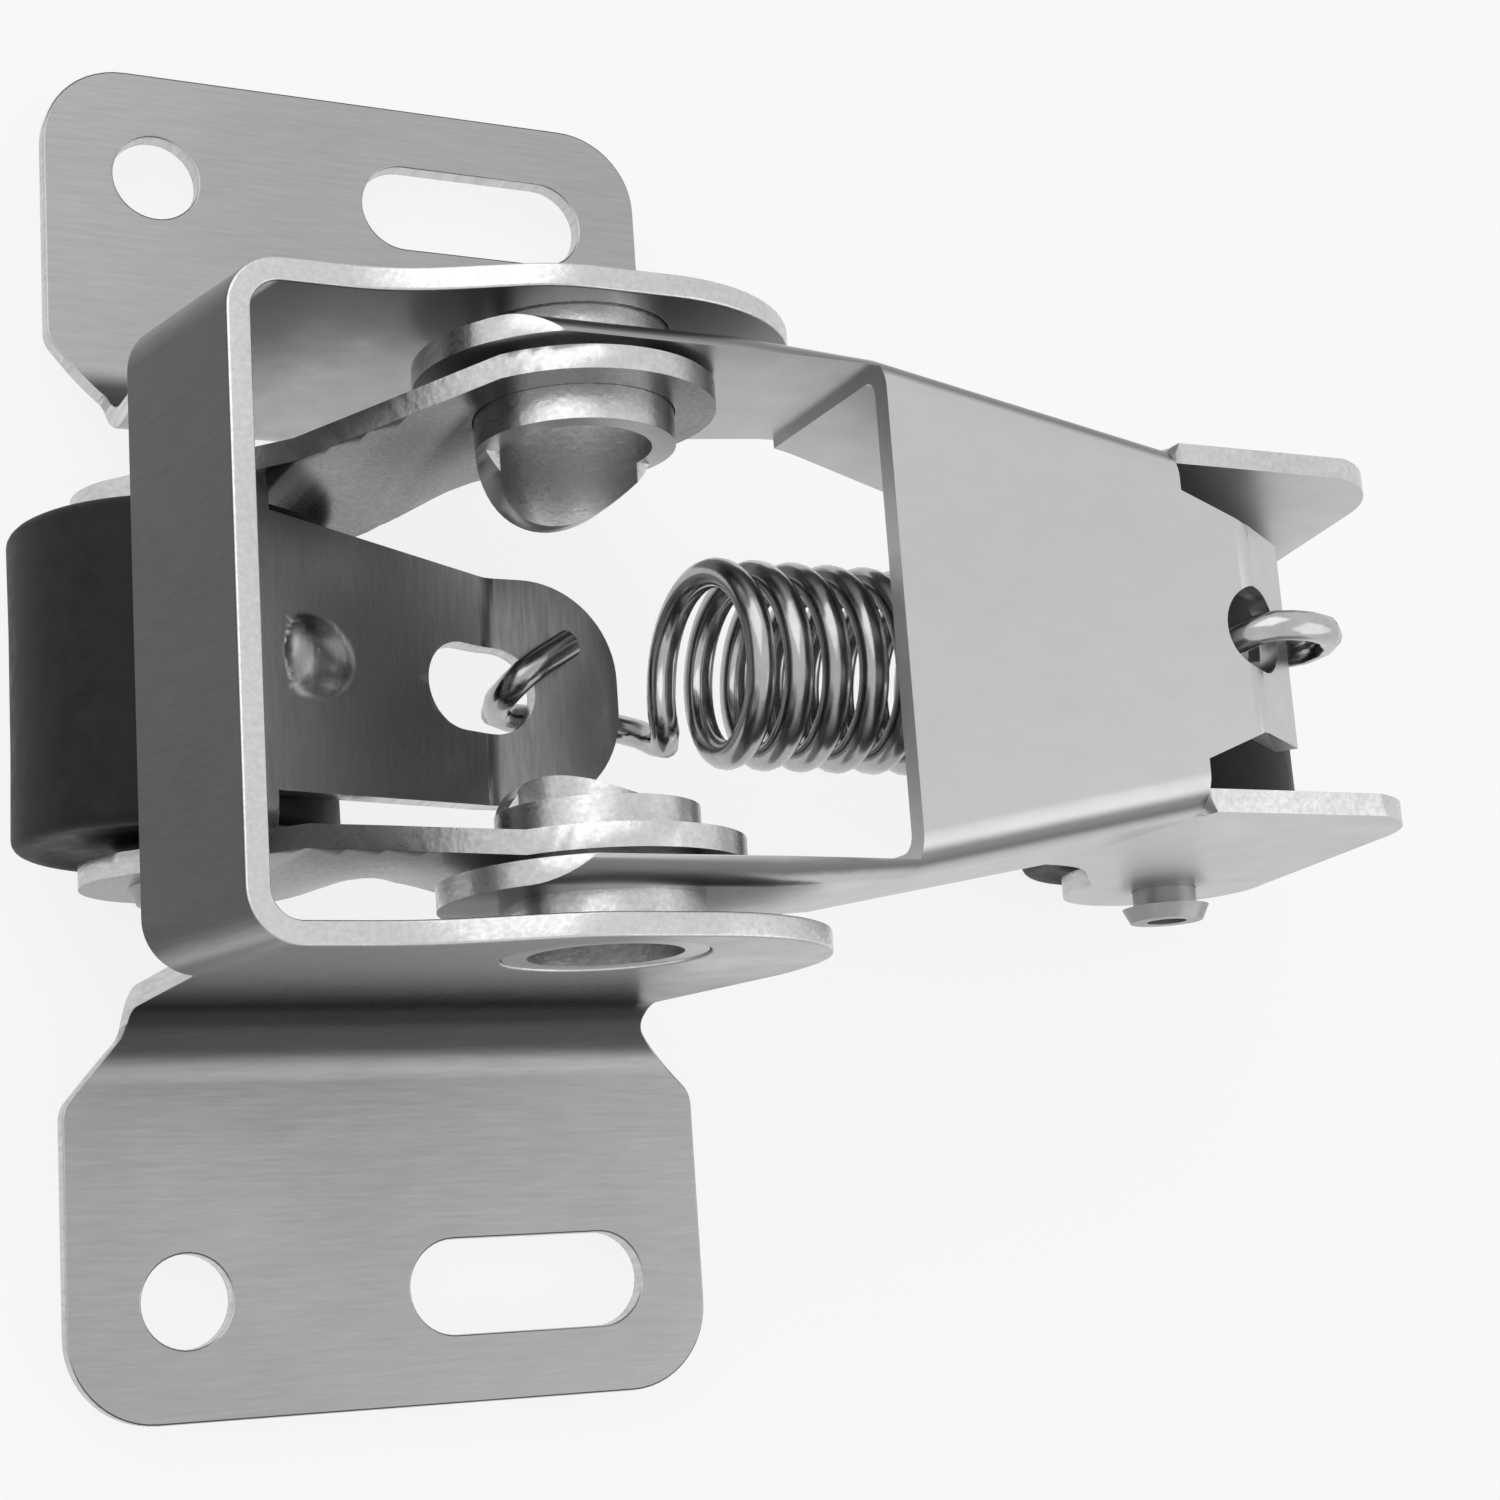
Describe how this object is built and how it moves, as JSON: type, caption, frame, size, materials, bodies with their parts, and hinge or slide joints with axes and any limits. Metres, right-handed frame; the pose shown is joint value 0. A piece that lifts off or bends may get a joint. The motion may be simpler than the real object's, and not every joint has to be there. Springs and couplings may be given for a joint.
{
  "type": "screen door catch",
  "caption": "Surface-mounted spring catch: a flanged steel frame holds a pivoting lever and yoke, each with a rubber roller, drawn together by an extension spring.",
  "frame": {"origin": "Midway between the two round screw holes, on the back plane of the flanges.", "axes": "+Z away from the surface that the catch is screwed to, +Y along the pivot and roller axles, +X from the yoke's roller to the lever's roller."},
  "size_m": [0.072, 0.0688, 0.0308],
  "materials": {
    "frame_steel": "zinc plated, satin",
    "lever_steel": "zinc plated, satin",
    "yoke_steel": "zinc plated, satin",
    "roller_rubber": "moulded, matte",
    "rivet_steel": "zinc plated",
    "spring_steel": "bright drawn wire"
  },
  "bodies": {
    "frame": {"mounting_frame": "frame_steel"},
    "lever": {"catch_lever": "lever_steel", "lever_axle": "rivet_steel", "tension_spring": "spring_steel"},
    "yoke": {"roller_yoke": "yoke_steel", "yoke_axle": "rivet_steel"},
    "yoke_wheel": {"yoke_roller": "roller_rubber"},
    "lever_wheel": {"lever_roller": "roller_rubber"}
  },
  "joints": [
    {"name": "lever_swing", "type": "hinge", "parent": "frame", "child": "lever", "pos_m": [0.0142, 0, 0.0206], "axis": [0, -1, 0], "range_deg": [0, 20]},
    {"name": "yoke_swing", "type": "hinge", "parent": "lever", "child": "yoke", "pos_m": [0.0142, 0, 0.0206], "axis": [0, -1, 0], "range_deg": [-4, 12], "stiffness_Nm_per_rad": 1, "deforming": ["tension_spring"]},
    {"name": "yoke_roller_spin", "type": "hinge", "parent": "yoke", "child": "yoke_wheel", "pos_m": [-0.0011, 0, 0.0058], "axis": [0, 1, 0], "continuous": true},
    {"name": "lever_roller_spin", "type": "hinge", "parent": "lever", "child": "lever_wheel", "pos_m": [0.0554, 0, 0.0058], "axis": [0, 1, 0], "continuous": true}
  ]
}
